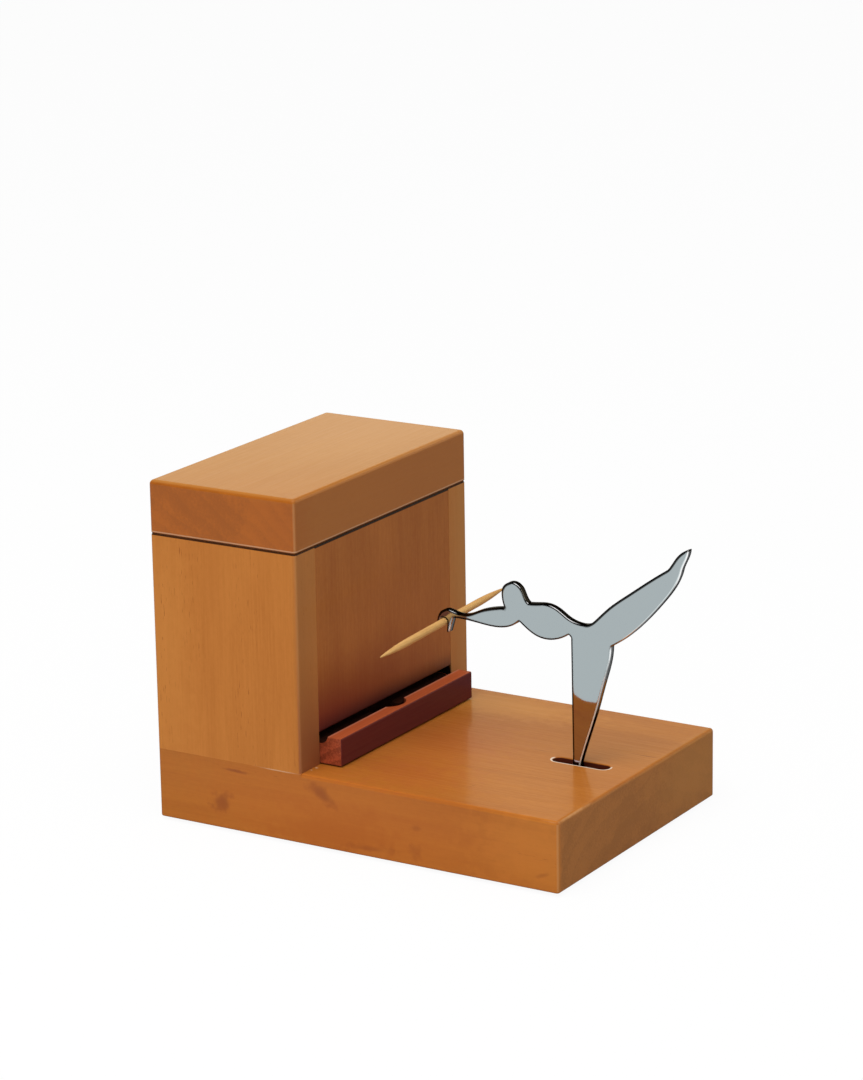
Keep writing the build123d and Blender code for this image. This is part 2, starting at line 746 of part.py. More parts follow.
# ---------------------------------------------------------------- cover and felt
with BuildPart() as bottom_cover:
    with BuildSketch(Plane.XY.offset(base_bottom)):
        with Locations((cover_x, 0)):
            RectangleRounded(
                cover_length - 2 * cover_clearance,
                cover_width - 2 * cover_clearance,
                cover_corner - cover_clearance,
            )
    extrude(amount=cover_thickness)
    with Locations(
        *[
            Plane((cover_x + s.position.X, s.position.Y, base_bottom), z_dir=(0, 0, -1))
            for s in cover_screw_spots
        ]
    ):
        CounterSinkHole(
            radius=cover_screw_radius + pilot_clearance,
            counter_sink_radius=cover_screw_head + pilot_clearance,
            depth=cover_thickness,
            counter_sink_angle=countersink,
        )
export(bottom_cover, "bottom_cover")

with BuildPart() as cover_screws:
    cover_screw = screw(
        cover_screw_radius,
        cover_screw_head,
        cover_screw_length,
        cover_screw_head - cover_screw_radius,
        True,
    )
    with Locations(
        *[
            Plane((cover_x + s.position.X, s.position.Y, base_bottom), z_dir=(0, 0, -1))
            for s in cover_screw_spots
        ]
    ):
        add(cover_screw)
export(cover_screws, "cover_screws")

with BuildPart() as felt_pad:
    with BuildSketch(Plane.XY):
        RectangleRounded(base_length - 2 * felt_inset, base_width - 2 * felt_inset, felt_corner)
    extrude(amount=felt_thickness)
export(felt_pad, "felt_pad")

# ---------------------------------------------------------------- toothpick in the hand
pick_plane = Plane(
    origin=(pivot_x + hand_x, 0, base_top + hand_z),
    x_dir=(1, 0, 0),
    z_dir=(0, cos(radians(pick_tilt)), sin(radians(pick_tilt))),
)
with BuildPart() as toothpick:
    with BuildSketch(pick_plane * Plane.XZ):
        near_end = -pick_near_length
        far_end = pick_length - pick_near_length
        near_shoulder = (pick_diameter / 2, near_end + pick_taper)
        far_shoulder = (pick_diameter / 2, far_end - pick_taper)
        with BuildLine():
            TangentArc(near_shoulder, (pick_tip_radius, near_end), tangent=(0, -1))
            Polyline((pick_tip_radius, near_end), (0, near_end), (0, far_end), (pick_tip_radius, far_end))
            TangentArc(far_shoulder, (pick_tip_radius, far_end), tangent=(0, 1))
            Line(near_shoulder, far_shoulder)
        make_face()
    revolve(axis=Axis(pick_plane.origin, pick_plane.z_dir))
export(toothpick, "toothpick")
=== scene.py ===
import json
from math import radians

import bpy
from mathutils import Matrix, Vector


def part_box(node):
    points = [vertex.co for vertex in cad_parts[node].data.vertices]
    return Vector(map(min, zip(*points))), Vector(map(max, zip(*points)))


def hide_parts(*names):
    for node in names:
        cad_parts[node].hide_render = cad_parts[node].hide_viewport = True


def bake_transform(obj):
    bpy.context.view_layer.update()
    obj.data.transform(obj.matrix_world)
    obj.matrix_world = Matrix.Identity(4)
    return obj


# Looks of the toothpick dispenser: lacquered wood, a mirror-polished sheet steel figure, a dark red
# tray and plain hardware, on a pale floor in soft light. Metres, in the frame of the CAD model.
# Sizes inside the materials are in millimetres of the object.

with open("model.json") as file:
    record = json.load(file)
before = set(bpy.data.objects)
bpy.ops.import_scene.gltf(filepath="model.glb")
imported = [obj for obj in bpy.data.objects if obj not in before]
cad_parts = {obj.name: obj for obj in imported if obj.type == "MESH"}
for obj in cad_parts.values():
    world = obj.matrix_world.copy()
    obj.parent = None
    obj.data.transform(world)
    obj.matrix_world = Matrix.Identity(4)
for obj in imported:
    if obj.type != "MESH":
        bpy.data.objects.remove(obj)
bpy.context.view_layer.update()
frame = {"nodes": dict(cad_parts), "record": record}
nodes = frame["nodes"]


def rgb(red, green, blue):
    """An opaque colour."""
    return (red, green, blue, 1.0)


def dimmed(colour, share):
    """The same colour with only a share of its light."""
    return [part * share for part in colour[:3]] + [1.0]


# ---------------------------------------------------------------- camera values
camera_aim = Vector((-0.0096, 0.0143, 0.0723))
camera_distance = 1.03
camera_azimuth = 31.457  # degrees, from -Y towards +X
camera_elevation = 15.51
camera_roll = -0.934
camera_lens = 124.56
sensor_height = 36.0

# ---------------------------------------------------------------- light values
white = rgb(1.0, 1.0, 1.0)
key_direction = Vector((0.06, -0.42, 0.9))
key_distance = 1.3
key_size = 1.0
key_power = 10.9
sky_low = 0.145  # from the side that the key light doesn't reach
sky_high = 0.6
sky_turn = (-0.4, 1.0)  # where the sky is low and high: cosines of the angle to the key light
floor_half = 5.0
floor_colour = rgb(0.55, 0.55, 0.54)  # towards the object
floor_white = 0.94  # share of plain white that the camera sees on the floor

# The studio that only mirror faces see. Each pair holds where something begins and where it is
# complete: in metres on the floor, and as X, Y or Z of the direction in the world.
mirrored_floor = rgb(0.686, 0.76, 0.769)
mirrored_floor_behind = rgb(0.25, 0.25, 0.25)
behind_y = (-0.09, -0.04)
card_x = (0.105, 0.13)  # a white card on the floor, to the right of the object
card_y = (0.12, 0.08)
mirrored_dark = rgb(0.015, 0.015, 0.017)
mirrored_backdrop = rgb(0.98, 0.9, 0.64)
backdrop_y = (-0.2, 0.5)
backdrop_z = (0.58, 0.46)
overhead_z = (0.64, 0.7)  # white overhead, except on the left
overhead_x = (-0.3, -0.15)

# ---------------------------------------------------------------- colours
honey = rgb(0.565, 0.194, 0.026)
honey_dark = rgb(0.435, 0.13, 0.0185)
honey_end = rgb(0.49, 0.18, 0.036)
# Painted highlight on upright rounded edges, and painted shade on rounded edges that look up or down.
edge_highlight = rgb(0.72, 0.42, 0.2)
edge_shade = rgb(0.27, 0.06, 0.01)
# Painted highlight on the rim of the leg's slot, and painted shade inside the slot.
slot_rim_highlight = rgb(0.95, 0.82, 0.66)
slot_shade = rgb(0.1, 0.018, 0.008)
reddish = rgb(0.25, 0.05, 0.015)
# Used for specks of dust, and for painted highlights on rounded edges, the lid's lower edge and the
# tray's notch.
pale = rgb(0.85, 0.6, 0.38)
# Painted highlight on the rounded top edges at the base's end.
edge_glint = rgb(0.95, 0.55, 0.24)
# Painted shade: in the tray's groove and notch, under the tray, inside the mouth and along the lid's
# seam.
shade_black = rgb(0.015, 0.006, 0.004)
steel_face = rgb(0.56, 0.575, 0.585)
steel_face_low = rgb(0.5, 0.49, 0.66)  # where the face mirrors the base
# Painted dark reflection on the rounded rim of the sheet.
steel_rim_dark_reflection = rgb(0.03, 0.028, 0.026)
steel_lit = rgb(0.97, 0.97, 0.97)
steel_lit_low = rgb(1.0, 0.9, 0.78)  # at the height where the face mirrors the base
steel_grazing = rgb(0.35, 0.35, 0.35)


# ---------------------------------------------------------------- node graphs
class Graph:
    """A node tree, with short calls that add a node and link it."""

    def __init__(self, tree):
        self.tree = tree
        tree.nodes.clear()

    def node(self, kind, inputs=None, **settings):
        made = self.tree.nodes.new(kind)
        for name, setting in settings.items():
            setattr(made, name, setting)
        for key, value in (inputs or {}).items():
            self.fill(made.inputs[key], value)
        return made

    def fill(self, socket, value):
        if isinstance(value, bpy.types.NodeSocket):
            self.tree.links.new(value, socket)
        else:
            socket.default_value = value

    def math(self, operation, *values):
        return self.node("ShaderNodeMath", dict(enumerate(values)), operation=operation).outputs[0]

    def product(self, first, *others):
        """All the values multiplied."""
        for other in others:
            first = self.math("MULTIPLY", first, other)
        return first

    def vector(self, operation, *values):
        made = self.node("ShaderNodeVectorMath", dict(enumerate(values)), operation=operation)
        return made.outputs["Value" if operation in ("DOT_PRODUCT", "LENGTH") else "Vector"]

    def split(self, vector):
        made = self.node("ShaderNodeSeparateXYZ", {"Vector": vector})
        return [made.outputs[axis] for axis in "XYZ"]

    def join(self, x, y, z):
        return self.node("ShaderNodeCombineXYZ", {0: x, 1: y, 2: z}).outputs["Vector"]

    def noise(self, vector, detail=2.0, roughness=0.5):
        inputs = {"Vector": vector, "Scale": 1.0, "Detail": detail, "Roughness": roughness}
        return self.node("ShaderNodeTexNoise", inputs).outputs["Fac"]

    def ramp(self, value, low, high, to_low=0.0, to_high=1.0):
        """A smooth step: to_low where the value is low, to_high where it is high."""
        inputs = {"Value": value, "From Min": low, "From Max": high, "To Min": to_low, "To Max": to_high}
        made = self.node("ShaderNodeMapRange", inputs, interpolation_type="SMOOTHSTEP")
        return made.outputs["Result"]

    def mix(self, factor, first, second):
        made = self.node("ShaderNodeMix", data_type="RGBA", blend_type="MIX")
        for socket, value in zip((0, 6, 7), (factor, first, second)):
            self.fill(made.inputs[socket], value)
        return made.outputs[2]


class Material(Graph):
    """A material of one principled shader."""

    def __init__(self, name, constants):
        self.material = bpy.data.materials.new(name)
        self.material.use_nodes = True
        super().__init__(self.material.node_tree)
        self.surface = self.node("ShaderNodeBsdfPrincipled", constants)
        output = self.node("ShaderNodeOutputMaterial")
        self.tree.links.new(self.surface.outputs["BSDF"], output.inputs["Surface"])
        self.coordinates = self.node("ShaderNodeTexCoord")
        self.place = self.vector("MULTIPLY", self.coordinates.outputs["Object"], (1000.0,) * 3)

    def set(self, socket, value):
        self.tree.links.new(value, self.surface.inputs[socket])

    def bump(self, height, strength, depth, normal=None):
        """A bump whose full height is depth, in millimetres."""
        inputs = {"Height": height, "Strength": strength, "Distance": depth / 1000}
        if normal:
            inputs["Normal"] = normal
        return self.node("ShaderNodeBump", inputs).outputs["Normal"]

    def bevel(self, radius):
        """Normals that turn over within a radius of an edge, in millimetres."""
        return self.node("ShaderNodeBevel", {"Radius": radius / 1000}, samples=16).outputs["Normal"]

    def scaled(self, along, across, through, order=(0, 1, 2), seed=0.0):
        """Coordinates for a noise, with its cells per millimetre along, across and through the grain."""
        axes = self.split(self.place)
        scales = (along, across, through)
        return self.join(*[self.math("MULTIPLY_ADD", axes[i], s, seed) for i, s in zip(order, scales)])


grain_order = {"x": (0, 1, 2), "y": (1, 0, 2), "z": (2, 0, 1)}  # the axes along, across and through

# ---------------------------------------------------------------- wood
mottle_share = 0.3  # of the wood's tone, next to its rings, clouds and fibres
ring_wander = 14.0  # how far the growth rings stray
arc_depth = 0.6  # of the rings on end grain
fleck_tint = (0.62, 0.45, 0.5)  # shares of the dark wood's red, green and blue
spot_fade = (0.1, 1.1)  # share of its half size at which a patch begins to fade and is gone
softest_line = 0.3  # width of a line's soft edge
upright_face = (0.97, 0.8)  # Z of the normals where a seam's painted shadow or highlight begins and is complete
rounded_edge = (0.96, 0.8)  # the largest part of the normals where an edge begins and is complete
end_face = (0.6, 0.95)  # the normals' part along the grain, from side grain to end grain
shade_weight = 0.95
shade_soft = 0.3  # half the width of the shade's soft edge
slot_line = 0.42  # from the slot's wall to the middle of the painted highlight on its rim
slot_line_half = (0.15, 0.36)  # the line's half width, full and faded out
slot_line_y = (1.4, 0.4)  # where it ends on the far side
slot_line_z = (-0.9, -0.4)  # how deep it reaches below the top
slot_line_weight = 0.85
slot_wall = (0.02, 0.08)  # from the slot's wall, where the painted shade inside ends


def spot(m, place, size, tilt, uneven):
    """A soft-edged patch: 1 in the middle of an ellipsoid, 0 outside.

    It has half sizes and a tilt about Y in degrees. Its outline wavers by the share uneven.
    """
    moved = m.vector("SUBTRACT", m.place, place)
    turn = {"Vector": moved, "Angle": radians(tilt)}
    turned = m.node("ShaderNodeVectorRotate", turn, rotation_type="Y_AXIS").outputs["Vector"]
    wobble = m.ramp(m.noise(m.scaled(0.35, 0.35, 0.35)), 0.3, 0.7, 1.0 - uneven, 1.0 + uneven)
    distance = m.vector("LENGTH", m.vector("DIVIDE", turned, size))
    return m.ramp(m.product(distance, wobble), *spot_fade, 1.0, 0.0)


def band(m, axis, middle, half_width):
    """A line or a stretch across a piece, at one value of an axis."""
    coordinate = m.split(m.place)["xyz".index(axis)]
    distance = m.math("ABSOLUTE", m.math("SUBTRACT", coordinate, middle))
    soft = min(half_width / 2, softest_line)
    return m.ramp(distance, half_width - soft, half_width, 1.0, 0.0)


def slot_rim(m, colour, middle, half_length, radius, top):
    """The leg's slot: painted shade inside, and a painted highlight where its rounded rim catches the
    light.
    """
    x, y, z = m.split(m.place)
    beyond = m.math("SUBTRACT", m.math("ABSOLUTE", m.math("SUBTRACT", x, middle)), half_length - radius)
    distance = m.vector("LENGTH", m.join(m.math("MAXIMUM", beyond, 0.0), y, 0.0))
    off_line = m.math("ABSOLUTE", m.math("SUBTRACT", distance, radius + slot_line))
    line = m.product(m.ramp(off_line, *slot_line_half, 1.0, 0.0), m.ramp(y, *slot_line_y))
    upper = m.ramp(z, *[top + below for below in slot_line_z])
    colour = m.mix(m.product(upper, slot_line_weight, line), colour, slot_rim_highlight)
    inside = m.ramp(distance, *[radius + out for out in slot_wall], 1.0, 0.0)
    return m.mix(inside, colour, slot_shade)


def shaded_inside(m, colour, behind, half_width):
    """A board that runs into the tower: painted shade behind an X, but not at its two ends."""
    x, y, _ = m.split(m.place)
    between = m.ramp(m.math("ABSOLUTE", y), half_width - 0.2, half_width - 0.6)
    inside = m.product(m.ramp(x, behind + shade_soft, behind - shade_soft), between)
    return m.mix(m.product(inside, shade_weight), colour, shade_black)


def growth(m, order, seed, pith, ring_gap, ring, cloud, fibre):
    """The share of the dark colour in the wood, and two things that it is made of.

    These are the late wood, which darkens towards the end of each ring, and the fibres.
    """
    axes = m.split(m.place)
    wander = m.noise(m.scaled(0.012, 0.04, 0.04, order, seed), 2.0)
    off_across = m.math("SUBTRACT", axes[order[1]], pith[0])
    off_through = m.math("SUBTRACT", axes[order[2]], pith[1])
    reach = m.vector("LENGTH", m.join(off_across, off_through, 0.0))
    reach = m.math("MULTIPLY_ADD", wander, ring_wander, reach)
    phase = m.math("FRACT", m.math("DIVIDE", reach, ring_gap))
    late = m.product(m.ramp(phase, 0.15, 0.85), m.ramp(phase, 0.9, 1.0, 1.0, 0.0))
    clouds = m.noise(m.scaled(0.015, 0.07, 0.07, order, seed + 7.0), 3.0)
    fibres = m.noise(m.scaled(0.05, 1.9, 1.9, order, seed + 3.0), 3.0, 0.6)
    mottle = m.noise(m.scaled(0.5, 1.0, 1.0, order, seed + 11.0), 4.0, 0.6)
    tone = m.product(late, ring)
    for part, share in ((clouds, cloud), (fibres, fibre), (mottle, mottle_share)):
        tone = m.math("MULTIPLY_ADD", m.ramp(part, 0.3, 0.7), share, tone)
    return m.math("DIVIDE", tone, ring + cloud + fibre + mottle_share), late, fibres


def wood(
    name, grain, light, dark, end, seed, pith, ring_gap=5.0, ring=0.35, fibre=0.5, flecks=0.0,
    cloud=0.5, coat=0.15, roughness=0.45, marks=(), lines=(), painted_seam_lines=(), slot=None, edge_highlight_and_shade=0.0,
    shade=None, end_depth=0.84, arcs=0.0,
):
    """Solid wood: growth rings around a pith line, fibres along the grain, pores and lacquer.

    Marks, lines and seams are rows of a place, a size, a weight and a tint. The seams are painted
    shadow and highlight along a joint, and leave out the faces that look up or down. The edge
    weight paints a highlight on upright rounded edges and shade on those that look up or down.
    """
    lacquer = {"Coat Weight": coat, "Coat Roughness": 0.14, "Coat IOR": 1.5, "Specular IOR Level": 0.1}
    m = Material(name, lacquer)
    order = grain_order[grain]
    tone, late, fibres = growth(m, order, seed, pith, ring_gap, ring, cloud, fibre)
    facing = [m.math("ABSOLUTE", part) for part in m.split(m.coordinates.outputs["Normal"])]
    end_tone = m.mix(m.ramp(tone, 0.25, 0.75), end, dimmed(end, end_depth))
    end_tone = m.mix(m.product(late, arcs), end_tone, dimmed(end, arc_depth))
    colour = m.mix(m.ramp(facing[order[0]], *end_face), m.mix(tone, light, dark), end_tone)
    if shade:
        colour = shaded_inside(m, colour, *shade)
    for place, size, tilt, uneven, weight, tint in marks:
        colour = m.mix(m.product(spot(m, place, size, tilt, uneven), weight), colour, tint)
    for axis, middle, half_width, weight, tint in lines:
        colour = m.mix(m.product(band(m, axis, middle, half_width), weight), colour, tint)
    # Painted shadow and highlight along the joint under the lid, on upright faces only.
    for height, half_width, weight, tint in painted_seam_lines:
        upright = m.ramp(facing[2], *upright_face, 0.0, weight)
        colour = m.mix(m.product(band(m, "z", height, half_width), upright), colour, tint)
    # Painted highlight on the upright rounded edges, painted shade on those that look up or down.
    if edge_highlight_and_shade:
        flatness = m.math("MAXIMUM", facing[0], m.math("MAXIMUM", facing[1], facing[2]))
        edge = m.mix(m.ramp(facing[2], 0.15, 0.4), edge_highlight, edge_shade)
        colour = m.mix(m.ramp(flatness, *rounded_edge, 0.0, edge_highlight_and_shade), colour, edge)
    if slot:
        colour = slot_rim(m, colour, *slot)
    if flecks:
        pores = m.noise(m.scaled(0.3, 3.6, 3.6, order, seed + 5.0), 2.0)
        patches = m.ramp(m.noise(m.scaled(0.01, 0.12, 0.12, order, seed + 9.0)), 0.45, 0.6)
        fleck = m.product(patches, flecks, m.ramp(pores, 0.65, 0.73))
        colour = m.mix(fleck, colour, rgb(*[part * share for part, share in zip(dark, fleck_tint)]))
    m.set("Base Color", colour)
    m.set("Roughness", m.ramp(fibres, 0.2, 0.8, roughness - 0.05, roughness + 0.07))
    m.set("Normal", m.bump(fibres, 0.12, 0.05))
    m.set("Coat Normal", m.bump(m.noise(m.scaled(0.02, 0.12, 0.12, order, seed)), 0.12, 0.4))
    return m.material


# ---------------------------------------------------------------- steel, felt, board and nylon
rolled_edge = 0.9  # radius of the sheet's polished rim
bold_edge = 1.5  # the same where the rim looks up to the left and mirrors something dark
bold_weight = 0.97
# Y of the normals, which is -1 on the figure's front and 0 on the flat side of its rim.
front_rim = (-0.3, -0.42)  # the rim's rounded front begins
lit_bevel_y = (-0.99, -0.96)  # the lit line of a lower edge begins
lit_core_y = (-0.9, -0.82)  # the lit line of an upper edge begins
inner_line_y = (-0.999, -0.995)  # the raised leg's inner line, a painted highlight, begins
inner_line_end_y = (-0.82, -0.88)  # and ends
outline_y = (0.998, 0.988)  # the outline begins, on the back as on the front
bold_y = (-0.996, -0.985)  # the bold line begins
# Heights above the top of the mirrored base, and distances from the left side of the leg.
shin_height = (2.0, -4.0)  # the face mirrors the base, from here down
crotch_height = (15.5, 16.5)  # no lit line between the legs, from here
crotch_end_height = (24.0, 20.0)  # to here
dull_height = (11.0, 6.0)  # a lower edge's lit line is less metallic from here down
dull_distance = (0.0, -2.0)  # and from here to the left
dull_metal = 0.35
raised_leg_distance = (13.5, 17.0)  # the raised leg's inner line begins


def chrome(name, leg_x, shin_z):
    """Mirror-polished steel: rolled-over edges, whose rim is painted dark and lit as painted reflections,
    a slight hollow, lines and smears.

    leg_x is the left side of the standing leg. The leg mirrors the base up to shin_z.
    """
    m = Material(name, {"Specular Tint": steel_grazing})
    lines = m.noise(m.scaled(0.3, 3.0, 3.0, grain_order["x"]), 2.0)
    smears = m.noise(m.scaled(0.06, 0.06, 0.06), 4.0, 0.6)
    m.set("Roughness", m.ramp(m.math("MULTIPLY_ADD", lines, 0.25, smears), 0.35, 0.9, 0.02, 0.06))

    x, _, z = m.split(m.place)
    from_leg = m.math("SUBTRACT", x, leg_x)
    height = m.math("SUBTRACT", z, shin_z)
    low = m.ramp(height, *shin_height)
    crotch = m.product(m.ramp(height, *crotch_height), m.ramp(height, *crotch_end_height))

    rounded = m.bevel(rolled_edge)
    right, away, up = m.split(rounded)
    front = m.ramp(away, *front_rim)
    upper = m.ramp(up, 0.0, 0.2)
    to_right = m.ramp(right, 0.05, 0.3)
    lower_side = m.product(to_right, m.math("SUBTRACT", 1.0, upper), m.ramp(up, -0.6, -0.4))
    lit_bevel = m.product(m.ramp(away, *lit_bevel_y), front)
    lit_core = m.product(m.ramp(away, *lit_core_y), front)
    lower_line = m.product(lower_side, m.math("SUBTRACT", lit_bevel, crotch))
    raised_leg = m.product(m.ramp(from_leg, *raised_leg_distance), m.ramp(up, -0.02, -0.05))
    inner_line = m.product(m.ramp(away, *inner_line_y), m.ramp(away, *inner_line_end_y))

    front_half = m.product(lower_side, m.ramp(away, 0.08, 0.0))
    # The rim's colour: a painted dark reflection, with painted highlights on its lit lines.
    edge = m.mix(front_half, steel_rim_dark_reflection, m.mix(low, steel_face, steel_rim_dark_reflection))
    edge = m.mix(lower_line, edge, m.mix(low, steel_lit, steel_lit_low))
    edge = m.mix(m.product(to_right, upper, lit_core), edge, steel_lit)
    edge = m.mix(m.product(raised_leg, inner_line), edge, steel_lit)
    outline = m.ramp(m.math("ABSOLUTE", away), *outline_y)
    colour = m.mix(outline, m.mix(low, steel_face, steel_face_low), edge)

    bold_right, bold_away, bold_up = m.split(m.bevel(bold_edge))
    bold = m.product(m.ramp(bold_right, -0.01, -0.04), m.ramp(bold_up, 0.03, 0.07))
    bold = m.product(bold, m.ramp(bold_away, *bold_y), m.ramp(bold_away, *front_rim))
    m.set("Base Color", m.mix(m.product(bold, bold_weight), colour, steel_rim_dark_reflection))

    dull = m.math("MAXIMUM", m.ramp(height, *dull_height), m.ramp(from_leg, *dull_distance))
    m.set("Metallic", m.ramp(m.product(lower_line, dull), 0.0, 1.0, 1.0, dull_metal))
    hollow = m.product(height, m.ramp(from_leg, -3.0, 5.0, 0.06, 0.025))
    m.set("Normal", m.bump(hollow, 1.0, 1.0, m.bump(lines, 0.02, 0.01, rounded)))
    return m.material


def metal(name, colour, along, roughness, stain):
    """Plain metal: drawn or brushed lines along one axis and a slight stain."""
    m = Material(name, {"Metallic": 1.0})
    lines = m.noise(m.scaled(0.15, 4.0, 4.0, grain_order[along]), 3.0)
    stains = m.noise(m.scaled(0.35, 0.35, 0.35), 3.0)
    m.set("Base Color", m.mix(m.ramp(stains, 0.35, 0.7, 0.0, stain), colour, dimmed(colour, 0.45)))
    m.set("Roughness", m.ramp(lines, 0.3, 0.7, roughness - 0.1, roughness + 0.12))
    m.set("Normal", m.bump(lines, 0.15, 0.02))
    return m.material


def felt(name, colour):
    """Pressed felt: fine fuzz in two tones with a soft sheen."""
    m = Material(name, {"Sheen Weight": 0.4, "Sheen Roughness": 0.5, "Specular IOR Level": 0.15})
    fuzz = m.noise(m.scaled(3.0, 3.0, 3.0), 5.0, 0.7)
    tufts = m.noise(m.scaled(0.5, 0.5, 0.5), 3.0)
    tone = m.math("MULTIPLY_ADD", fuzz, 0.7, m.product(tufts, 0.3))
    m.set("Base Color", m.mix(m.ramp(tone, 0.3, 0.7), dimmed(colour, 0.55), colour))
    m.set("Roughness", m.ramp(fuzz, 0.3, 0.7, 0.85, 1.0))
    m.set("Normal", m.bump(fuzz, 0.8, 0.2))
    return m.material


def board(name, colour):
    """Hardboard: pressed brown fibres without a grain direction."""
    m = Material(name, {"Specular IOR Level": 0.3})
    fibres = m.noise(m.scaled(1.1, 1.1, 1.1), 6.0, 0.75)
    specks = m.node("ShaderNodeTexVoronoi", {"Vector": m.scaled(1.6, 1.6, 1.6), "Scale": 1.0})
    tone = m.product(m.ramp(fibres, 0.3, 0.7), m.ramp(specks.outputs["Distance"], 0.0, 0.5))
    m.set("Base Color", m.mix(tone, dimmed(colour, 0.6), colour))
    m.set("Roughness", m.ramp(fibres, 0.3, 0.7, 0.5, 0.7))
    m.set("Normal", m.bump(fibres, 0.25, 0.05))
    return m.material


def nylon(name, colour):
    """Natural nylon: slightly cloudy, with fine mould texture."""
    m = Material(name, {"Subsurface Weight": 0.15, "Subsurface Scale": 0.001})
    clouds = m.noise(m.scaled(0.6, 0.6, 0.6), 3.0)
    m.set("Base Color", m.mix(m.ramp(clouds, 0.3, 0.7), colour, dimmed(colour, 0.9)))
    m.set("Roughness", m.ramp(clouds, 0.3, 0.7, 0.35, 0.5))
    m.set("Normal", m.bump(m.noise(m.scaled(5.0, 5.0, 5.0), 2.0), 0.1, 0.02))
    return m.material


# ---------------------------------------------------------------- places, in millimetres
foot_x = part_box("front_panel")[1].x * 1000
foot_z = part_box("near_side_panel")[0].z * 1000
lid_seam_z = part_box("near_side_panel")[1].z * 1000
near_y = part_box("base_block")[0].y * 1000
end_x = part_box("base_block")[1].x * 1000
lid_top_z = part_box("lid_top")[1].z * 1000
pin_radius = 1.0
pivot_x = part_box("pivot_pin")[0].x * 1000 + pin_radius
leg_left_x = pivot_x - 1.75  # the left side of the standing leg
shin_z = foot_z + 17.5  # up to here the leg mirrors the base
tray_front_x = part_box("toothpick_tray")[1].x * 1000
tray_top_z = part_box("toothpick_tray")[1].z * 1000
tray_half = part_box("toothpick_tray")[1].y * 1000
lip_thickness = 4.35
lip_back_x = tray_front_x - lip_thickness
slot_middle_x = pivot_x + 0.75
slot_half_length = 8.55
slot_radius = 1.9

# ---------------------------------------------------------------- marks of the wood, painted light and shade among them
# Each mark: place, half sizes, tilt in degrees, unevenness, weight, tint.
base_marks = [
    ((0.0, near_y, 9.0), (90.0, 3.0, 26.0), 0.0, 0.1, 0.5, rgb(0.62, 0.16, 0.021)),
    ((57.0, near_y, 10.0), (26.0, 3.0, 16.0), 0.0, 0.2, 0.5, rgb(0.7, 0.235, 0.035)),
    ((-5.0, near_y, 6.0), (26.0, 3.0, 9.0), 5.0, 0.3, 0.35, rgb(0.45, 0.1, 0.012)),
    ((10.0, -30.0, foot_z), (24.0, 16.0, 2.0), 0.0, 0.3, 0.3, rgb(0.5, 0.12, 0.028)),
    ((-42.1, near_y, 8.2), (4.4, 3.0, 3.2), 8.0, 0.4, 0.55, reddish),
    ((-9.3, near_y, 15.9), (5.8, 3.0, 2.5), -27.0, 0.3, 0.55, reddish),
    ((-36.8, near_y, 18.2), (4.4, 3.0, 0.5), -2.0, 0.3, 0.6, reddish),
    ((19.1, near_y, 5.5), (2.2, 3.0, 2.6), 30.0, 0.4, 0.25, reddish),
    ((5.0, near_y, 3.4), (9.0, 3.0, 1.2), 4.0, 0.4, 0.3, reddish),
    ((58.0, near_y, 5.4), (3.6, 3.0, 0.9), 20.0, 0.3, 0.3, reddish),
    ((4.0, -6.0, foot_z), (26.0, 34.0, 2.0), 0.0, 0.3, 0.3, rgb(0.45, 0.1, 0.03)),
    # Painted light on the base top behind the tray, where the tower's shade falls.
    ((2.0, 34.0, foot_z), (34.0, 14.0, 2.0), 0.0, 0.2, 0.5, rgb(0.72, 0.31, 0.06)),
    ((end_x, 34.0, 12.0), (3.0, 34.0, 20.0), 0.0, 0.2, 0.5, rgb(0.56, 0.235, 0.05)),
    ((20.0, near_y, 11.7), (2.5, 3.0, 1.2), 0.0, 0.3, 0.3, reddish),
    ((30.9, 4.1, foot_z), (3.2, 0.35, 2.0), 0.0, 0.3, 0.5, reddish),
    ((57.8, 13.5, foot_z), (4.6, 0.35, 2.0), 0.0, 0.3, 0.5, reddish),
    # Painted highlights on the rounded top edges at the base's end.
    ((end_x, near_y + 8.0, foot_z), (0.7, 13.0, 0.7), 0.0, 0.1, 1.0, edge_glint),
    ((end_x - 2.0, near_y, foot_z), (7.0, 0.5, 0.5), 0.0, 0.1, 0.8, edge_glint),
    # Painted highlight on the base's near top edge, where the tower stands.
    ((foot_x - 7.0, near_y, foot_z), (8.0, 2.0, 0.35), 0.0, 0.1, 0.7, pale),
    # Two pale specks of dust.
    ((foot_x + 0.8, near_y + 6.6, foot_z), (0.6, 0.5, 1.0), 0.0, 0.1, 0.9, pale),
    ((foot_x + 0.6, near_y + 4.4, foot_z), (0.4, 0.3, 1.0), 0.0, 0.1, 0.9, pale),
]
front_shade_marks = [
    # Painted shade low on the front panel, above the tray's mouth.
    ((foot_x, -32.0, 26.0), (10.0, 74.0, 26.0), 0.0, 0.0, 1.0, rgb(0.19, 0.025, 0.0165)),
    ((foot_x, 0.0, 26.0), (10.0, 90.0, 9.0), 0.0, 0.0, 1.2, rgb(0.06, 0.014, 0.012)),
]
tray_light_and_shade_marks = [
    # Painted shade in the notch of the lip.
    ((lip_back_x, 0.0, tray_top_z - 3.6), (4.4, 3.7, 3.7), 0.0, 0.0, 3.0, shade_black),
    # Painted highlight along the back edge of the lip.
    ((lip_back_x + 0.3, 0.0, tray_top_z), (0.45, 90.0, 0.45), 0.0, 0.1, 0.6, rgb(0.62, 0.34, 0.27)),
    # Painted highlights on the wall of the notch.
    ((-13.5, 3.6, 27.9), (0.8, 1.0, 0.22), 30.0, 0.1, 1.5, pale),
    ((-13.1, 3.7, 28.4), (0.6, 1.0, 0.2), -20.0, 0.1, 1.5, pale),
    ((-13.9, 3.5, 27.2), (0.5, 1.2, 0.22), 10.0, 0.1, 1.5, pale),
]
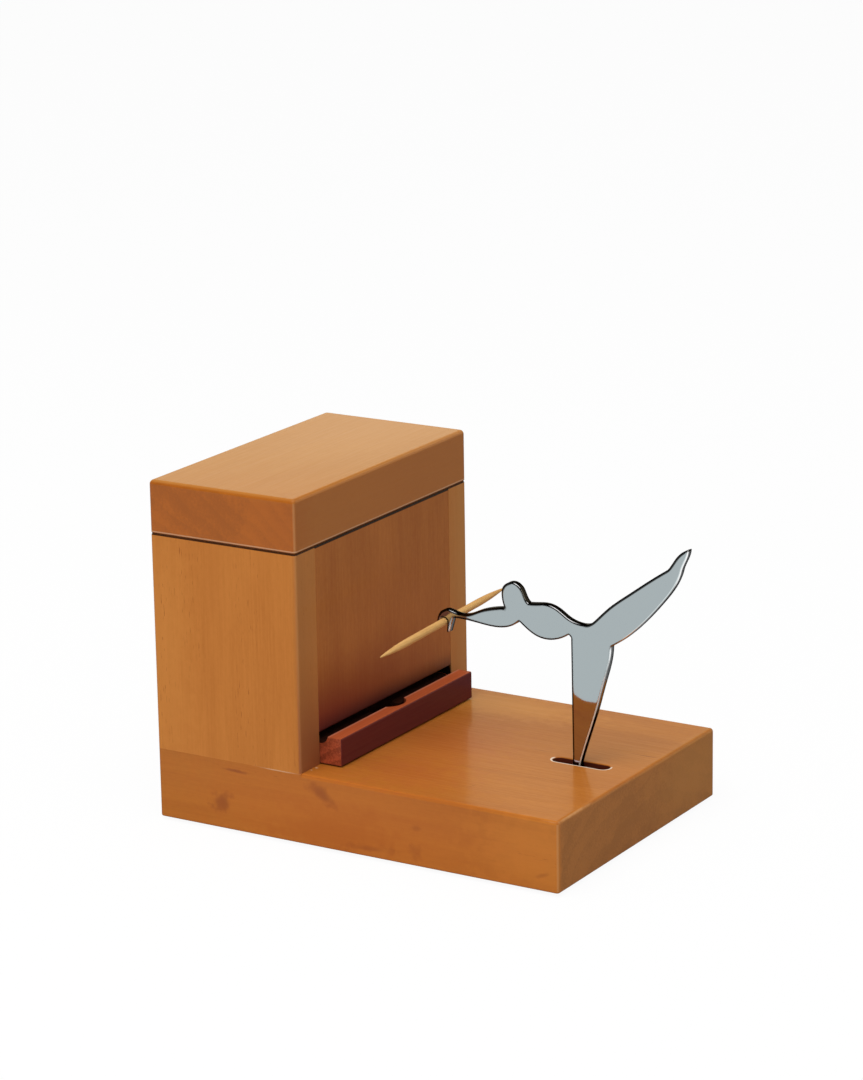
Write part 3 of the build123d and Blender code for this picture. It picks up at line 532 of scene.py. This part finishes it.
side_marks = [
    # Painted shade on the far side panel's inner face, inside the mouth.
    ((foot_x - 6.0, -near_y - 9.5, foot_z + 4.0), (8.5, 0.5, 9.0), 0.0, 0.0, 4.0, shade_black),
    ((-end_x, near_y, 50.0), (16.0, 3.0, 60.0), 0.0, 0.2, 0.5, rgb(0.72, 0.28, 0.058)),
    ((foot_x, -near_y, 55.0), (1.5, 10.0, 60.0), 0.0, 0.1, 0.4, rgb(0.66, 0.34, 0.105)),
    ((foot_x, near_y, 55.0), (1.5, 12.0, 60.0), 0.0, 0.1, 0.5, rgb(0.4, 0.14, 0.035)),
    # Painted shade low on the near side panel's front edge, beside the tray.
    ((foot_x, near_y + 5.0, foot_z), (0.8, 20.0, 34.0), 0.0, 0.0, 0.85, rgb(0.2, 0.02, 0.018)),
]
lid_marks = [
    ((-40.0, -near_y, lid_top_z), (44.0, 66.0, 2.0), 0.0, 0.1, 0.5, rgb(0.65, 0.3, 0.105)),
    ((foot_x, near_y, lid_top_z), (60.0, 44.0, 2.0), 0.0, 0.2, 0.45, rgb(0.51, 0.162, 0.015)),
    ((foot_x, near_y, lid_seam_z + 7.0), (14.0, 12.0, 14.0), 0.0, 0.2, 0.35, rgb(0.42, 0.105, 0.009)),
]
# Each line: axis, place on it, half width, weight, tint.
tray_light_and_shade_lines = [
    # Painted light on the lip's top face.
    ("z", tray_top_z, 0.35, 0.45, rgb(0.68, 0.16, 0.05)),
    # Painted shade on the tray's front face, which looks away from the light.
    ("x", tray_front_x, 0.3, 0.85, rgb(0.083, 0.01, 0.0175)),
    # Painted contact shadow under the tray.
    ("z", foot_z, 0.6, 0.8, shade_black),
]
side_lines = [("x", foot_x, 0.3, 0.4, rgb(0.47, 0.23, 0.075))]
lid_lines = [("x", foot_x, 0.3, 0.6, rgb(0.42, 0.13, 0.02))]
# Each seam, a painted shadow or highlight along the joint under the lid: height, half width, weight,
# tint.
# Painted shadow in the seam under the lid.
tower_seam_shadow = [(lid_seam_z, 0.75, 1.0, shade_black)]
side_seam_shadow = [(lid_seam_z, 0.5, 1.0, shade_black)]
# Painted highlight on the lid's lower rounded edge, and painted shadow in the seam below it.
lid_seam_shadow_and_highlight = [(lid_seam_z + 0.65, 0.2, 0.4, pale), (lid_seam_z, 0.45, 1.0, shade_black)]

# ---------------------------------------------------------------- finishes
woods = {
    "base_wood": dict(
        grain="x", light=honey, dark=honey_dark, end=honey_end, seed=1.0, pith=(6.0, -60.0),
        ring_gap=6.0, ring=0.25, fibre=0.35, flecks=0.35, cloud=0.6, coat=0.26, edge_highlight_and_shade=0.25,
        marks=base_marks, slot=(slot_middle_x, slot_half_length, slot_radius, foot_z),
    ),
    "side_wood": dict(
        grain="z", light=rgb(0.65, 0.232, 0.0445), dark=rgb(0.54, 0.174, 0.0295), end=honey_end,
        seed=2.0, pith=(-30.0, -70.0), ring_gap=4.2, ring=0.25, fibre=0.45, flecks=0.75, cloud=0.5,
        coat=0.1, edge_highlight_and_shade=0.1, marks=side_marks, lines=side_lines, painted_seam_lines=side_seam_shadow,
    ),
    "front_wood": dict(
        # Its colours are darker than the side panels': in part painted shade on a face that looks away
        # from the key light.
        grain="z", light=rgb(0.52, 0.186, 0.041), dark=rgb(0.395, 0.126, 0.0275), end=honey_end,
        seed=3.0, pith=(30.0, 5.0), ring_gap=5.0, ring=0.15, fibre=0.3, flecks=0.2, cloud=0.6,
        coat=0.1, marks=front_shade_marks, painted_seam_lines=tower_seam_shadow,
    ),
    "back_wood": dict(
        grain="z", light=honey, dark=honey_dark, end=honey_end, seed=4.0, pith=(-140.0, 12.0),
        ring_gap=5.5, ring=0.4, fibre=0.4, flecks=0.5, painted_seam_lines=tower_seam_shadow,
    ),
    "lid_wood": dict(
        grain="y", light=rgb(0.57, 0.228, 0.043), dark=rgb(0.51, 0.192, 0.0345),
        end=rgb(0.495, 0.127, 0.0085), seed=5.0, pith=(-80.0, 30.0), ring_gap=4.5, ring=0.06,
        fibre=0.16, cloud=0.45, coat=0.5, edge_highlight_and_shade=0.15, arcs=0.15, marks=lid_marks,
        lines=lid_lines, painted_seam_lines=lid_seam_shadow_and_highlight,
    ),
    "inner_wood": dict(
        grain="y", light=rgb(0.62, 0.42, 0.2), dark=rgb(0.5, 0.3, 0.13), end=rgb(0.5, 0.32, 0.15),
        seed=6.0, pith=(20.0, -30.0), ring_gap=4.0, ring=0.5, fibre=0.5, flecks=0.4, coat=0.0,
        roughness=0.6,
    ),
    "tray_wood": dict(
        grain="y", light=rgb(0.42, 0.073, 0.02), dark=rgb(0.29, 0.043, 0.013),
        end=rgb(0.47, 0.095, 0.038), end_depth=0.55, seed=7.0, pith=(10.0, -10.0), ring_gap=3.0,
        ring=0.4, fibre=0.6, flecks=0.4, coat=0.12, marks=tray_light_and_shade_marks, lines=tray_light_and_shade_lines,
        shade=(lip_back_x, tray_half),
    ),
    "toothpick_wood": dict(
        grain="y", light=rgb(0.78, 0.47, 0.17), dark=rgb(0.6, 0.3, 0.09), end=rgb(0.6, 0.34, 0.12),
        seed=8.0, pith=(10.0, 40.0), ring_gap=1.0, ring=0.3, fibre=0.9, flecks=0.5, coat=0.0,
        roughness=0.55,
    ),
    "dowel_wood": dict(
        grain="z", light=rgb(0.6, 0.4, 0.2), dark=rgb(0.48, 0.3, 0.13), end=rgb(0.5, 0.32, 0.15),
        seed=9.0, pith=(0.0, -90.0), ring_gap=2.0, ring=0.4, fibre=0.8, flecks=0.3, coat=0.0,
        roughness=0.65,
    ),
}
metals = {
    "bracket_steel": dict(colour=rgb(0.6, 0.6, 0.6), along="x", roughness=0.4, stain=0.3),
    "pin_steel": dict(colour=rgb(0.66, 0.66, 0.68), along="y", roughness=0.25, stain=0.1),
    "rod_steel": dict(colour=rgb(0.62, 0.62, 0.64), along="x", roughness=0.28, stain=0.2),
    "spring_steel": dict(colour=rgb(0.56, 0.56, 0.58), along="x", roughness=0.3, stain=0.25),
    "screw_steel": dict(colour=rgb(0.72, 0.68, 0.55), along="z", roughness=0.33, stain=0.3),
}
finishes = {name: wood(name, **looks) for name, looks in woods.items()}
finishes.update({name: metal(name, **looks) for name, looks in metals.items()})
finishes["polished_steel"] = chrome("polished_steel", leg_left_x, shin_z)
finishes["washer_plastic"] = nylon("washer_plastic", rgb(0.8, 0.79, 0.74))
finishes["cover_board"] = board("cover_board", rgb(0.3, 0.17, 0.08))
finishes["felt_brown"] = felt("felt_brown", rgb(0.16, 0.1, 0.065))
finishes["stop_felt"] = felt("stop_felt", rgb(0.09, 0.09, 0.09))
for subpart in frame["record"]["subparts"]:
    piece = nodes[subpart["node"]]
    for material_slot in piece.material_slots:
        material_slot.material = finishes[subpart["material_slot"]]


def make_stretching_spring():
    """The return spring again, a copy of its CAD node's mesh that stands in for the hidden node."""
    spring = bpy.data.objects.new("stretching_spring", nodes["return_spring"].data.copy())
    bpy.context.scene.collection.objects.link(spring)
    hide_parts("return_spring")
    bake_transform(spring)


make_stretching_spring()


# ---------------------------------------------------------------- floor, world and light
def make_floor():
    """A pale plane. The camera sees it almost white, and it keeps the object's soft shadow."""
    mesh = bpy.data.meshes.new("floor")
    corners = [(x * floor_half, y * floor_half, 0.0) for x, y in ((-1, -1), (1, -1), (1, 1), (-1, 1))]
    mesh.from_pydata(corners, [], [(0, 1, 2, 3)])
    floor = bpy.data.objects.new("floor", mesh)
    bpy.context.scene.collection.objects.link(floor)
    material = bpy.data.materials.new("floor")
    material.use_nodes = True
    g = Graph(material.node_tree)
    paths = g.node("ShaderNodeLightPath").outputs
    tone = g.mix(paths["Is Camera Ray"], floor_colour, white)
    plain = g.node("ShaderNodeBsdfDiffuse", {"Color": tone}).outputs[0]
    glow = g.node("ShaderNodeEmission", {"Color": white, "Strength": 1.0}).outputs[0]
    x, y, _ = g.split(g.node("ShaderNodeTexCoord").outputs["Object"])
    reflected = g.mix(g.ramp(y, *behind_y), mirrored_floor, mirrored_floor_behind)
    reflected = g.mix(g.product(g.ramp(x, *card_x), g.ramp(y, *card_y)), reflected, white)
    mirrored = g.node("ShaderNodeEmission", {"Color": reflected, "Strength": 1.0}).outputs[0]
    seen = g.math("MAXIMUM", paths["Is Camera Ray"], paths["Is Transmission Ray"])
    shader = g.node("ShaderNodeMixShader", {0: g.product(seen, floor_white), 1: plain, 2: glow})
    shader = g.node("ShaderNodeMixShader", {0: paths["Is Glossy Ray"], 1: shader.outputs[0], 2: mirrored})
    g.node("ShaderNodeOutputMaterial", {"Surface": shader.outputs[0]})
    mesh.materials.append(material)


def make_world():
    """White behind the object, a soft sky that lights it, and a studio for its mirror faces."""
    world = bpy.data.worlds.new("studio")
    bpy.context.scene.world = world
    world.use_nodes = True
    g = Graph(world.node_tree)
    direction = g.node("ShaderNodeTexCoord").outputs["Generated"]
    paths = g.node("ShaderNodeLightPath").outputs
    facing = g.vector("DOT_PRODUCT", direction, key_direction.normalized())
    level = g.ramp(facing, *sky_turn, sky_low, sky_high)
    sky = g.join(level, level, level)
    x, y, z = g.split(direction)
    backdrop = g.product(g.ramp(y, *backdrop_y), g.ramp(z, *backdrop_z))
    overhead = g.product(g.ramp(z, *overhead_z), g.ramp(x, *overhead_x))
    mirrored = g.mix(overhead, g.mix(backdrop, mirrored_dark, mirrored_backdrop), white)
    seen = g.math("MAXIMUM", paths["Is Camera Ray"], paths["Is Transmission Ray"])
    colour = g.mix(seen, g.mix(paths["Is Glossy Ray"], sky, mirrored), white)
    background = g.node("ShaderNodeBackground", {"Color": colour, "Strength": 1.0})
    g.node("ShaderNodeOutputWorld", {"Surface": background.outputs[0]})


def make_key():
    """A large soft light in front of the object, above and, for the camera, a little to the left."""
    light = bpy.data.lights.new("key", "AREA")
    light.shape = "SQUARE"
    light.size = key_size
    light.energy = key_power
    key = bpy.data.objects.new("key", light)
    direction = key_direction.normalized()
    key.location = direction * key_distance
    key.rotation_euler = direction.to_track_quat("Z", "Y").to_euler()
    key.visible_glossy = False
    bpy.context.scene.collection.objects.link(key)


def make_camera():
    """The photograph's view."""
    lens = bpy.data.cameras.new("camera")
    lens.lens = camera_lens
    lens.sensor_fit = "VERTICAL"
    lens.sensor_height = sensor_height
    lens.clip_start = 0.01
    camera = bpy.data.objects.new("camera", lens)
    turn = Matrix.Rotation(radians(camera_azimuth), 4, "Z")
    tilt = Matrix.Rotation(radians(90 - camera_elevation), 4, "X")
    roll = Matrix.Rotation(radians(camera_roll), 4, "Z")
    stand = turn @ tilt @ roll
    back = stand.to_3x3() @ Vector((0, 0, camera_distance))
    camera.matrix_world = Matrix.Translation(camera_aim + back) @ stand
    bpy.context.scene.collection.objects.link(camera)
    bpy.context.scene.camera = camera


make_camera()
make_floor()
make_world()
make_key()
bpy.context.scene.view_settings.view_transform = "Standard"
